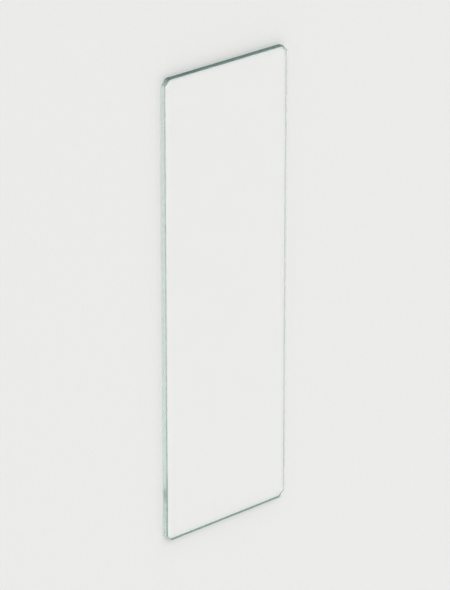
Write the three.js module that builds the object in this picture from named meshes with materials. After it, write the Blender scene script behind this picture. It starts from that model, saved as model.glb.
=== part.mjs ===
// Microscope slide: one plate of clear sheet glass. Its corners are cut at 45 degrees
// and all its edges are ground, with a fine bevel, the arris, along both rims.
// Units are millimetres. The slide lies flat with +Z up and +X along its length, and
// the origin is under its middle, on the surface that it lies on.
import * as THREE from 'three';

// Driving dimensions.
const LENGTH = 75;
const WIDTH = 25;
const THICKNESS = 1;
const CORNER_CUT = 1; // what each 45 degree cut takes off the end and off the side
const CORNER_BLEND = 0.4; // radius where a cut runs into an end or a side
const ARRIS = 0.15; // width and depth of the bevel, measured square to the faces
const BLEND_CHORDS = 4; // straight chords in each blend

// The eight points where the ends, the sides and the corner cuts would meet if they
// were sharp, anticlockwise.
function sharpPoints() {
  const endX = LENGTH / 2;
  const sideY = WIDTH / 2;
  const cutX = endX - CORNER_CUT;
  const cutY = sideY - CORNER_CUT;
  return [
    new THREE.Vector2(endX, -cutY),
    new THREE.Vector2(endX, cutY),
    new THREE.Vector2(cutX, sideY),
    new THREE.Vector2(-cutX, sideY),
    new THREE.Vector2(-endX, cutY),
    new THREE.Vector2(-endX, -cutY),
    new THREE.Vector2(-cutX, -sideY),
    new THREE.Vector2(cutX, -sideY),
  ];
}

// Rounds one sharp point of the outline with an arc that is tangent to both of the
// straight stretches that meet there. The shape draws the straight stretch up to it.
function addBlend(outline, before, point, after) {
  const towardsBefore = before.clone().sub(point).normalize();
  const towardsAfter = after.clone().sub(point).normalize();
  const inwards = towardsBefore.clone().add(towardsAfter).normalize();
  const halfAngle = Math.acos(inwards.dot(towardsAfter));
  const centre = point.clone().addScaledVector(inwards, CORNER_BLEND / Math.sin(halfAngle));
  const tangentLength = CORNER_BLEND / Math.tan(halfAngle);
  const first = point.clone().addScaledVector(towardsBefore, tangentLength).sub(centre);
  const last = point.clone().addScaledVector(towardsAfter, tangentLength).sub(centre);
  outline.absarc(centre.x, centre.y, CORNER_BLEND, first.angle(), last.angle(), false);
}

function slideOutline() {
  const points = sharpPoints();
  const outline = new THREE.Shape();
  points.forEach((point, index) => {
    const before = points.at(index - 1);
    const after = points[(index + 1) % points.length];
    addBlend(outline, before, point, after);
  });
  outline.closePath();
  return outline;
}

// The plate is its outline, extruded. The bevel is taken off inside the outline, so the
// full length and width are those of the upright wall between the two arrises.
function glassSlide() {
  const geometry = new THREE.ExtrudeGeometry(slideOutline(), {
    depth: THICKNESS - 2 * ARRIS,
    curveSegments: BLEND_CHORDS / 2, // an arc is drawn with twice as many
    bevelEnabled: true,
    bevelThickness: ARRIS,
    bevelSize: ARRIS,
    bevelOffset: -ARRIS,
    bevelSegments: 1,
  });
  const clearGlass = new THREE.MeshStandardMaterial({
    color: 0xdfece6,
    roughness: 0.05,
    metalness: 0,
    transparent: true,
    opacity: 0.35,
  });
  const slide = new THREE.Mesh(geometry, clearGlass);
  slide.name = 'glass_slide';
  slide.position.z = ARRIS; // the extrusion starts one bevel below its own zero
  return slide;
}

const microscopeSlide = new THREE.Group();
microscopeSlide.add(glassSlide());

export default microscopeSlide;
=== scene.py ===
# %% [markdown]
# # A glass microscope slide
#
# The part is one plate of clear glass, 75 mm long, 25 mm wide and 1 mm thick, lying on
# white paper. Its two broad faces are polished and can hardly be seen. What the eye
# finds are the ground edges: pale green along the two sides, deep green at the two
# ends, and a cut across each corner. So nearly all of this notebook is about edges,
# and about what light does inside a thin plate.
#
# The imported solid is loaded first. Its box gives the place and the overall sizes.

# %% Load the frame
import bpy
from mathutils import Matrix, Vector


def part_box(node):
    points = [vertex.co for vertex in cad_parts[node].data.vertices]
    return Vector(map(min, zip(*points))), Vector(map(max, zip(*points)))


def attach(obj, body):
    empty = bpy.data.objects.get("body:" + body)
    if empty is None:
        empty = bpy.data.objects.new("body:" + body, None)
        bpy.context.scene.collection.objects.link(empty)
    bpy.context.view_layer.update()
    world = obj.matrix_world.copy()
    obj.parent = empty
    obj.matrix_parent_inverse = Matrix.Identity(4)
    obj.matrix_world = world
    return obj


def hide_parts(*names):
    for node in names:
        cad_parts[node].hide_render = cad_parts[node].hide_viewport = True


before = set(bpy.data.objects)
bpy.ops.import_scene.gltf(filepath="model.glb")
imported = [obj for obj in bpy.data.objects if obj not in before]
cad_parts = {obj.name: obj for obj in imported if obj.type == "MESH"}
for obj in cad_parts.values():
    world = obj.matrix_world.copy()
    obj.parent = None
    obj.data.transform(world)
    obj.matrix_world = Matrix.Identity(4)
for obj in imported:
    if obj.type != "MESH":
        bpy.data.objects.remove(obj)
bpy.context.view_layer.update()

import math

import bmesh
import bpy
from mathutils import Matrix, Vector

MM = 0.001
low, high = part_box("glass_slide")
length, width, thickness = high - low
centre = (low + high) / 2
print(f"the slide is {length / MM:.1f} x {width / MM:.1f} x {thickness / MM:.1f} mm")

# %% [markdown]
# ## The plate
#
# A real slide starts as a large sheet of glass, which is scored and snapped into
# rectangles. The mesh starts the same way, as a plain block of the full size. A flat
# outline given thickness by Solidify would do as well, but the block has its upright
# corner edges from the start, and those are what the next steps work on.

# %% Snap a blank from the sheet
bpy.ops.object.select_all(action="DESELECT")
bpy.ops.mesh.primitive_cube_add(size=1, location=centre, scale=(length, width, thickness))
slide = bpy.context.object
slide.name = "slide_glass"
bpy.ops.object.transform_apply(location=True, rotation=True, scale=True)
print("the blank has", len(slide.data.polygons), "faces")

# %% [markdown]
# ## Cut corners
#
# An operator in edit mode works on what is selected, and a script has no mouse to
# select with. So a helper comes first. It selects edges by a rule about their two ends,
# and it serves every step of the plate.


# %% Select edges by a rule
def select_edges(piece, wanted):
    """Opens a piece in edit mode and selects the edges for which wanted(start, end) is true."""
    bpy.ops.object.mode_set(mode="EDIT")
    bpy.ops.mesh.select_mode(type="EDGE")
    bpy.ops.mesh.select_all(action="DESELECT")
    mesh = bmesh.from_edit_mesh(piece.data)
    found = [edge for edge in mesh.edges if wanted(*(point.co for point in edge.verts))]
    for edge in found:
        edge.select_set(True)
    bmesh.update_edit_mesh(piece.data)
    print("selected", len(found), "edges")


# %% [markdown]
# A square corner of glass chips, and it can cut a glove. On this kind of slide each
# corner is ground off at 45 degrees. A boolean with four wedges would cut them too,
# but the bevel operator with one segment makes exactly this cut, and its offset is the
# size that a drawing gives: how much it takes off the end and off the side.

# %% Cut the corners
CORNER_CUT = 1.0 * MM


def is_upright(start, end):
    """True for an edge that joins the lower face to the upper one."""
    return abs(start.z - end.z) > thickness / 2


select_edges(slide, is_upright)
bpy.ops.mesh.bevel(offset=CORNER_CUT, segments=1, affect="EDGES")
bpy.ops.object.mode_set(mode="OBJECT")
print("with its corners cut:", len(slide.data.polygons), "faces")

# %% [markdown]
# The grinding wheel doesn't leave a sharp line where a cut runs into a side or an end.
# The slide is rolled a little under it, which leaves a small radius there. A second
# bevel makes it, with four segments. Its offset isn't the radius itself: on a bend of
# 45 degrees, an arc of radius r starts r times tan(22.5 degrees) before the line.

# %% Blend the cuts into the sides and ends
CORNER_BLEND = 0.4 * MM
BLEND_SEGMENTS = 4
BEND = math.radians(45)

select_edges(slide, is_upright)
blend_offset = CORNER_BLEND * math.tan(BEND / 2)
bpy.ops.mesh.bevel(offset=blend_offset, segments=BLEND_SEGMENTS, affect="EDGES")
bpy.ops.object.mode_set(mode="OBJECT")
print(f"each blend starts {blend_offset / MM:.3f} mm from its line")

# %% [markdown]
# ## The arris
#
# Last, a fine belt is run round both rims. It leaves a narrow slanted face called the
# arris, which follows the sides, the ends, the cuts and the blends without a break.
# All the edges that lie in the two faces are bevelled at once, so its corners mitre
# cleanly. Bevelling one side after another would leave them overlapping.

# %% Grind the arris
ARRIS = 0.15 * MM


def is_on_rim(start, end):
    """True for an edge that lies in one of the two broad faces."""
    return abs(start.z - end.z) < thickness / 2


select_edges(slide, is_on_rim)
bpy.ops.mesh.bevel(offset=ARRIS, segments=1, affect="EDGES")
bpy.ops.object.mode_set(mode="OBJECT")
print("with its arris:", len(slide.data.polygons), "faces")

# %% [markdown]
# Under a lens, even the lines beside the arris are worn round by a few hundredths of a
# millimetre, and each catches a thread of light. A Bevel modifier rounds them. It picks
# lines by their angle, so it leaves the gentle bends of the blends alone.
#
# Then the shading is made smooth, and the normals are weighted by the size of the
# faces. The two broad faces stay optically flat, and only narrow faces look rounded.
# On glass this matters twice: a bent normal would bend what is seen through the face.

# %% Ease the lines and weigh the normals
EASED_LINE = 0.025 * MM
EASED_SEGMENTS = 2
EASED_ANGLE = math.radians(30)
FACE_AREA_WEIGHT = 100

ease = slide.modifiers.new("ease", "BEVEL")
ease.width = EASED_LINE
ease.segments = EASED_SEGMENTS
ease.limit_method = "ANGLE"
ease.angle_limit = EASED_ANGLE
bpy.ops.object.modifier_apply(modifier=ease.name)
bpy.ops.object.shade_smooth()
weigh = slide.modifiers.new("weigh", "WEIGHTED_NORMAL")
weigh.weight = FACE_AREA_WEIGHT
bpy.ops.object.modifier_apply(modifier=weigh.name)
finished_sizes = [round(side / MM, 3) for side in slide.dimensions]
print("finished:", len(slide.data.polygons), "faces,", finished_sizes, "mm")

# %% [markdown]
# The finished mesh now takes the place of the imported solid, which stays behind for
# collision. It is one rigid piece, so it rides on the one body that the part has.

# %% Put the mesh in the solid's place
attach(slide, "root")
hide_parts("glass_slide")
print(slide.name, "stands for glass_slide and rides on root")


# %% [markdown]
# ## Soda-lime glass
#
# Slides are made of soda-lime glass, as windows are. Traces of iron in it take away
# red light first, then blue, so what has gone a long way through it comes out green.
# Through the face that way is 1 mm, and nothing shows. Through the width it is 25 mm,
# and through the length 75 mm. That is why the sides look pale green and the ends deep
# green: it is one glass, seen along three lengths of path.
#
# Three helpers come first. Colours are written as sRGB hex values, as in any drawing
# program, and one function turns them into the linear values that a shader wants.


# %% Helpers for materials
def hex_colour(code):
    """An sRGB hex colour as linear red, green, blue and alpha, by the standard's own curve."""
    parts = [int(code[i : i + 2], 16) / 255 for i in (1, 3, 5)]
    linear = [p / 12.92 if p <= 0.04045 else ((p + 0.055) / 1.055) ** 2.4 for p in parts]
    return (*linear, 1.0)


def add_node(tree, kind, inputs=None, **settings):
    """Adds one node. A value in inputs is set on its socket, and a socket is linked to it."""
    node = tree.nodes.new(kind)
    for name, value in settings.items():
        setattr(node, name, value)
    for name, value in (inputs or {}).items():
        if isinstance(value, bpy.types.NodeSocket):
            tree.links.new(value, node.inputs[name])
        else:
            node.inputs[name].default_value = value
    return node


def new_material(name):
    """An empty node-based material and its node tree."""
    material = bpy.data.materials.new(name)
    material.use_nodes = True
    material.node_tree.nodes.clear()
    return material, material.node_tree


print("a middle grey of #808080 reaches a shader as", round(hex_colour("#808080")[0], 3))

# %% [markdown]
# ### Where it is polished and where it is ground
#
# One material covers the whole plate. Two would be easier to paint, but a renderer
# keeps track of the glass that a ray is inside by its material, and a ray that goes in
# through one and out through another would stay green in the open air.
#
# So a mask tells polish from grinding by height alone. The two faces lie exactly half
# a thickness above and below the middle, and everything between them is ground.


# %% Mask of the ground surfaces
POLISH_ENDS = 0.004 * MM
GRINDING_STARTS = 0.012 * MM


def ground_mask(tree, place):
    """1 on the ground edges and the arris, 0 on the two polished faces."""
    height = add_node(tree, "ShaderNodeSeparateXYZ", {"Vector": place}).outputs["Z"]
    from_middle = add_node(tree, "ShaderNodeMath", {0: height, 1: centre.z}, operation="SUBTRACT")
    depth = add_node(tree, "ShaderNodeMath", {0: from_middle.outputs[0]}, operation="ABSOLUTE")
    mask_inputs = {"Value": depth.outputs[0]}
    mask_inputs["From Min"] = thickness / 2 - POLISH_ENDS
    mask_inputs["From Max"] = thickness / 2 - GRINDING_STARTS
    return add_node(tree, "ShaderNodeMapRange", mask_inputs).outputs["Result"]


print(f"the mask goes from 0 to 1 by {GRINDING_STARTS / MM:.3f} mm under a face")

# %% [markdown]
# ### Marks of the grinding belt
#
# A ground edge is satin, with fine lines that run along it, side by side through the
# thickness. A noise texture gives them when its grain is stretched: long along the
# plate and across it, and short in height. The same stretch suits the sides, the ends
# and the corner cuts, because the belt always runs level.
#
# A real line is about 0.03 mm wide, which is too fine to show here, so the lines are
# drawn 0.2 mm wide and 20 mm long.

# %% Lines of the grinding belt
LINE_WIDTH = 0.2 * MM
LINE_LENGTH = 20 * MM
LINE_DETAIL = 3.0


def belt_lines(tree, place):
    """A noise from 0 to 1 with its grain drawn out level, as a belt leaves it."""
    grain = (1 / LINE_LENGTH, 1 / LINE_LENGTH, 1 / LINE_WIDTH)
    stretched = add_node(tree, "ShaderNodeMapping", {"Vector": place, "Scale": grain})
    noise_inputs = {"Vector": stretched.outputs["Vector"], "Scale": 1.0, "Detail": LINE_DETAIL}
    return add_node(tree, "ShaderNodeTexNoise", noise_inputs).outputs["Fac"]


print(f"the belt's lines are {LINE_WIDTH / MM:.1f} mm wide and {LINE_LENGTH / MM:.0f} mm long")

# %% [markdown]
# ### Painted green and shade on the edges
#
# A path tracer finds the green by following light along the plate. A viewer for games or the web
# doesn't, and there an edge would look as clear as the face. So part of the green is painted on the
# ground surface itself. It is painted shade that stands in for the light lost on a long way through
# the glass: a trace of it on the sides, and a deep, dark green on the ends. The corner cuts lie
# between the two, and pass from one to the other.

# %% Tint of the ground edges
# Painted green and shade: these colours stand in for light dimmed on its way along the plate, not for
# a colour of ground glass under any lamp.
SIDE_PAINTED_GREEN = "#eef0f0"
END_PAINTED_SHADE_GREEN = "#426f6c"
MIX_A, MIX_B, MIX_RESULT = 6, 7, 2  # a Mix node's colour sockets share their names with others


def painted_edge_shade(tree, place):
    """The painted green of the sides, which turns into the darker painted green and shade of the ends
    across each corner cut.
    """
    along = add_node(tree, "ShaderNodeSeparateXYZ", {"Vector": place}).outputs["X"]
    from_middle = add_node(tree, "ShaderNodeMath", {0: along}, operation="ABSOLUTE")
    cut_inputs = {"Value": from_middle.outputs[0]}
    cut_inputs["From Min"] = length / 2 - CORNER_CUT
    cut_inputs["From Max"] = length / 2
    share = add_node(tree, "ShaderNodeMapRange", cut_inputs).outputs["Result"]
    mix_inputs = {"Factor": share, MIX_A: hex_colour(SIDE_PAINTED_GREEN), MIX_B: hex_colour(END_PAINTED_SHADE_GREEN)}
    return add_node(tree, "ShaderNodeMix", mix_inputs, data_type="RGBA").outputs[MIX_RESULT]


print("the tint is", SIDE_PAINTED_GREEN, "on the sides and", END_PAINTED_SHADE_GREEN, "on the ends")

# %% [markdown]
# ### Satin of the ground surfaces
#
# The belt lines give the ground glass its roughness and a shallow relief. Both are
# multiplied by the mask, so the polished faces keep none of them: they are as smooth as
# glass can be, and that is their finish.

# %% Roughness and relief of the grinding
SMOOTHEST_GROUND = 0.16
ROUGHEST_GROUND = 0.30
RELIEF_STRENGTH = 0.35
LINE_DEPTH = 0.01 * MM


def satin_finish(tree, place, ground):
    """The roughness and the normal that the belt leaves, on the ground surfaces only."""
    lines = belt_lines(tree, place)
    satin_inputs = {"Value": lines, "To Min": SMOOTHEST_GROUND, "To Max": ROUGHEST_GROUND}
    satin = add_node(tree, "ShaderNodeMapRange", satin_inputs).outputs["Result"]
    roughness = add_node(tree, "ShaderNodeMath", {0: satin, 1: ground}, operation="MULTIPLY")
    strength = add_node(tree, "ShaderNodeMath", {0: ground, 1: RELIEF_STRENGTH}, operation="MULTIPLY")
    relief_inputs = {"Height": lines, "Strength": strength.outputs[0], "Distance": LINE_DEPTH}
    relief = add_node(tree, "ShaderNodeBump", relief_inputs)
    return roughness.outputs[0], relief.outputs["Normal"]


print("ground glass has a roughness from", SMOOTHEST_GROUND, "to", ROUGHEST_GROUND)

# %% [markdown]
# ### All of it in one glass
#
# The surface is the Principled shader with full transmission and the refractive index
# of soda-lime glass. The inside is a volume that absorbs. Its losses are given per
# metre: on a path of d metres, exp(-6 d) of the red is left, exp(-3 d) of the green and
# exp(-4 d) of the blue. The node takes them as a density and a colour, and the loss in
# each channel is the density times what the colour lacks of 1.

# %% The glass
GLASS_IOR = 1.52
FACE_TINT = "#ffffff"
LOSS_PER_METRE = (6.0, 3.0, 4.0)
LOSS_DENSITY = 8.0


def soda_lime_glass():
    """Clear sheet glass: faces polished by fire, edges and arris ground by a belt."""
    material, tree = new_material("soda-lime glass, polished and ground")
    place = add_node(tree, "ShaderNodeTexCoord").outputs["Object"]
    ground = ground_mask(tree, place)
    # The ground surfaces take the painted green and shade of the edges, and the polished faces stay
    # white.
    mix_inputs = {"Factor": ground, MIX_A: hex_colour(FACE_TINT), MIX_B: painted_edge_shade(tree, place)}
    tint = add_node(tree, "ShaderNodeMix", mix_inputs, data_type="RGBA").outputs[MIX_RESULT]
    roughness, normal = satin_finish(tree, place, ground)
    surface_inputs = {"Base Color": tint, "Roughness": roughness, "Normal": normal}
    surface_inputs["IOR"] = GLASS_IOR
    surface_inputs["Transmission Weight"] = 1.0
    surface = add_node(tree, "ShaderNodeBsdfPrincipled", surface_inputs).outputs["BSDF"]
    lets_through = [1 - loss / LOSS_DENSITY for loss in LOSS_PER_METRE]
    volume_inputs = {"Color": (*lets_through, 1.0), "Density": LOSS_DENSITY}
    inside = add_node(tree, "ShaderNodeVolumeAbsorption", volume_inputs).outputs["Volume"]
    add_node(tree, "ShaderNodeOutputMaterial", {"Surface": surface, "Volume": inside})
    return material


slide.data.materials.append(soda_lime_glass())
for name, path in (("thickness", thickness), ("width", width), ("length", length)):
    kept = [round(math.exp(-loss * path), 2) for loss in LOSS_PER_METRE]
    print(f"after one {name}, this much of the red, green and blue is left:", kept)

# %% [markdown]
# ### Enough bounces
#
# Light that enters through an edge is caught between the two faces. It strikes one or
# the other about once in every two millimetres of its way, until it finds another
# edge. Looking into an end, the eye sees light that has done so some forty times. The
# usual limit is a dozen bounces, and it would turn those edges black, so it is raised.
#
# To save time, Cycles may also blur a glass or a mirror that light reaches by way of a
# matt surface. That filter is turned off, because here it would take away most of the
# light that reaches the paper through the slide.

# %% Let light bounce along the plate
MOST_BOUNCES = 96

cycles = bpy.context.scene.cycles
cycles.max_bounces = MOST_BOUNCES
cycles.glossy_bounces = MOST_BOUNCES
cycles.transmission_bounces = MOST_BOUNCES
cycles.blur_glossy = 0.0
print("light may bounce", cycles.max_bounces, "times")

# %% [markdown]
# ## The paper sweep
#
# Glass shows whatever is round it, so the studio is part of its look. The slide lies on
# a round of white paper that curves up on all sides, as the paper sweep of a studio
# does at the back. From low down there is then no hard horizon behind it.
#
# It starts as a flat circle of edges without a face. The paper lies a hair's breadth
# below the slide, because two surfaces in one plane would flicker.

# %% Draw the rim of the flat part
PAPER_GAP = 0.03 * MM
FLAT_RADIUS = 1.2  # metres
ROUND_SIDES = 96

bpy.ops.object.select_all(action="DESELECT")
below_slide = (0, 0, low.z - PAPER_GAP)
bpy.ops.mesh.primitive_circle_add(vertices=ROUND_SIDES, radius=FLAT_RADIUS, location=below_slide)
sweep = bpy.context.object
sweep.name = "paper_sweep"
bpy.ops.object.transform_apply(location=True, rotation=True, scale=True)
print("the flat part of the paper is", 2 * FLAT_RADIUS, "m across")

# %% [markdown]
# The rim is then extruded upwards and widened, in even steps along an eighth of a
# circle. Its curve is wide, so that the paper stays open to the light and doesn't turn
# grey as it rises. The flat middle is filled last: a face that is there from the start
# would be lifted along with the rim.

# %% Curve the paper up and fill its middle
CURVE_RADIUS = 1.6  # metres
CURVE_TURN = math.radians(45)
CURVE_STEPS = 12

select_edges(sweep, lambda start, end: True)
reach, rise = FLAT_RADIUS, 0.0
for step in range(1, CURVE_STEPS + 1):
    turn = CURVE_TURN * step / CURVE_STEPS
    next_reach = FLAT_RADIUS + CURVE_RADIUS * math.sin(turn)
    next_rise = CURVE_RADIUS * (1 - math.cos(turn))
    bpy.ops.mesh.extrude_edges_move(TRANSFORM_OT_translate={"value": (0, 0, next_rise - rise)})
    wider = next_reach / reach
    bpy.ops.transform.resize(value=(wider, wider, 1), center_override=(0, 0, 0))
    reach, rise = next_reach, next_rise

select_edges(sweep, lambda start, end: max(start.z, end.z) < low.z)
bpy.ops.mesh.edge_face_add()
bpy.ops.mesh.select_all(action="SELECT")
bpy.ops.mesh.normals_make_consistent(inside=True)
bpy.ops.object.mode_set(mode="OBJECT")
bpy.ops.object.shade_smooth()
print(f"with its curve it is {2 * reach:.1f} m across and {rise:.1f} m high")

# %% [markdown]
# Sweep paper is matt and off-white. Its fibres give it a faint mottle and a tooth that
# can be felt. Real fibres are some 0.03 mm thick, so they are drawn as a grain of
# 0.6 mm, and kept so faint that the slide stays the only thing to look at.

# %% Matt white paper
PAPER_GRAIN = 0.6 * MM
FIBRE_DETAIL = 4.0
TOOTH_DEPTH = 0.01 * MM
TOOTH_STRENGTH = 0.3
PAPER_ROUGHNESS = 0.85
PAPER_LIGHT = "#ebebe9"
PAPER_DARK = "#e7e7e5"

paper, tree = new_material("matt white sweep paper")
place = add_node(tree, "ShaderNodeTexCoord").outputs["Object"]
fibre_inputs = {"Vector": place, "Scale": 1 / PAPER_GRAIN, "Detail": FIBRE_DETAIL}
fibres = add_node(tree, "ShaderNodeTexNoise", fibre_inputs).outputs["Fac"]
mix_inputs = {"Factor": fibres, MIX_A: hex_colour(PAPER_DARK), MIX_B: hex_colour(PAPER_LIGHT)}
mottle = add_node(tree, "ShaderNodeMix", mix_inputs, data_type="RGBA").outputs[MIX_RESULT]
tooth_inputs = {"Height": fibres, "Distance": TOOTH_DEPTH, "Strength": TOOTH_STRENGTH}
tooth = add_node(tree, "ShaderNodeBump", tooth_inputs).outputs["Normal"]
matt_inputs = {"Base Color": mottle, "Roughness": PAPER_ROUGHNESS, "Normal": tooth}
matt = add_node(tree, "ShaderNodeBsdfPrincipled", matt_inputs).outputs["BSDF"]
add_node(tree, "ShaderNodeOutputMaterial", {"Surface": matt})
sweep.data.materials.append(paper)
print(f"the paper's grain is {PAPER_GRAIN / MM:.1f} mm")

# %% [markdown]
# ## The camera
#
# It looks down on the slide from beyond its left end and its front side, at the slant
# at which a raised slide is seen in a carton. The picture's upright is the slide's
# length. A long lens keeps the two long sides nearly parallel.
#
# The camera is turned by a matrix whose columns say where its right, its up and its
# back point. It shows nothing that is nearer than its near limit, which is set to 1 cm,
# so that the camera can also be moved up close to an edge.

# %% Set the camera
TOWARDS_EYE = Vector((-0.380, -0.628, 0.680)).normalized()
UP_IN_PICTURE = Vector((-1, 0, 0))
EYE_DISTANCE = 0.598  # metres
NEAR_LIMIT = 0.01  # metres
LENS = 240  # millimetres, as the sensor is
SENSOR = 36

picture_right = UP_IN_PICTURE.cross(TOWARDS_EYE).normalized()
picture_up = TOWARDS_EYE.cross(picture_right)
turned = Matrix((picture_right, picture_up, TOWARDS_EYE)).transposed().to_4x4()
bpy.ops.object.camera_add()
camera = bpy.context.object
camera.matrix_world = Matrix.Translation(centre + TOWARDS_EYE * EYE_DISTANCE) @ turned
camera.data.lens = LENS
camera.data.sensor_width = SENSOR
camera.data.clip_start = NEAR_LIMIT
bpy.context.scene.camera = camera
print(f"the camera looks down at {math.degrees(math.asin(TOWARDS_EYE.z)):.0f} degrees")

# %% [markdown]
# ## The light
#
# Clear glass is lit by lighting what it shows. Most of the light is a white studio, and
# comes from everywhere alike. It is made by the world. Its colour is white, and the
# view is Standard, so every colour in the scene looks as it was written.

# %% Surround the slide with a white studio
STUDIO_WHITE = "#ffffff"
STUDIO_STRENGTH = 0.75

studio = bpy.data.worlds.new("white studio")
bpy.context.scene.world = studio
studio.use_nodes = True
studio.node_tree.nodes.clear()
wall_inputs = {"Color": hex_colour(STUDIO_WHITE), "Strength": STUDIO_STRENGTH}
walls = add_node(studio.node_tree, "ShaderNodeBackground", wall_inputs).outputs["Background"]
add_node(studio.node_tree, "ShaderNodeOutputWorld", {"Surface": walls})
bpy.context.scene.view_settings.view_transform = "Standard"
print("the studio has a strength of", STUDIO_STRENGTH)

# %% [markdown]
# One wide, soft lamp above the left end adds the rest, and gives the light a direction.
# It shines past the near edges onto the paper, so the shadow where glass meets paper
# stays light. A sun lamp does this with no falloff across the sweep, and its angle makes
# it as wide as a softbox close by.


# %% Hang a soft lamp
def aim(lamp, towards_lamp):
    """Turns a lamp so that it shines from its direction onto the slide."""
    lamp.rotation_euler = towards_lamp.to_track_quat("Z", "Y").to_euler()


LAMP_FROM = Vector((-0.50, -0.25, 0.80)).normalized()
LAMP_STRENGTH = 0.9
LAMP_ANGLE = math.radians(60)

bpy.ops.object.light_add(type="SUN", location=centre + LAMP_FROM)
soft_lamp = bpy.context.object
soft_lamp.name = "soft_lamp"
soft_lamp.data.energy = LAMP_STRENGTH
soft_lamp.data.angle = LAMP_ANGLE
aim(soft_lamp, LAMP_FROM)
print(soft_lamp.name, "shines down at", round(math.degrees(math.asin(LAMP_FROM.z))), "degrees")

# %% [markdown]
# Opposite the camera hangs a white card with a light of its own, where a mirror lying
# in the slide's place would show it. Its reflection lifts the polished face to the tone
# of the paper, and what it sends through the plate brightens the near edges.

# %% Hang a white card where the face reflects it
CARD_DISTANCE = 1.0  # metres
CARD_SIZE = 0.9  # metres
CARD_POWER = 0.6  # watts

mirrored_eye = Vector((-TOWARDS_EYE.x, -TOWARDS_EYE.y, TOWARDS_EYE.z))
bpy.ops.object.light_add(type="AREA", location=centre + mirrored_eye * CARD_DISTANCE)
card = bpy.context.object
card.name = "white_card"
card.data.shape = "DISK"
card.data.size = CARD_SIZE
card.data.energy = CARD_POWER
aim(card, mirrored_eye)
print(f"{card.name} is {CARD_SIZE} m across and {CARD_DISTANCE} m away")
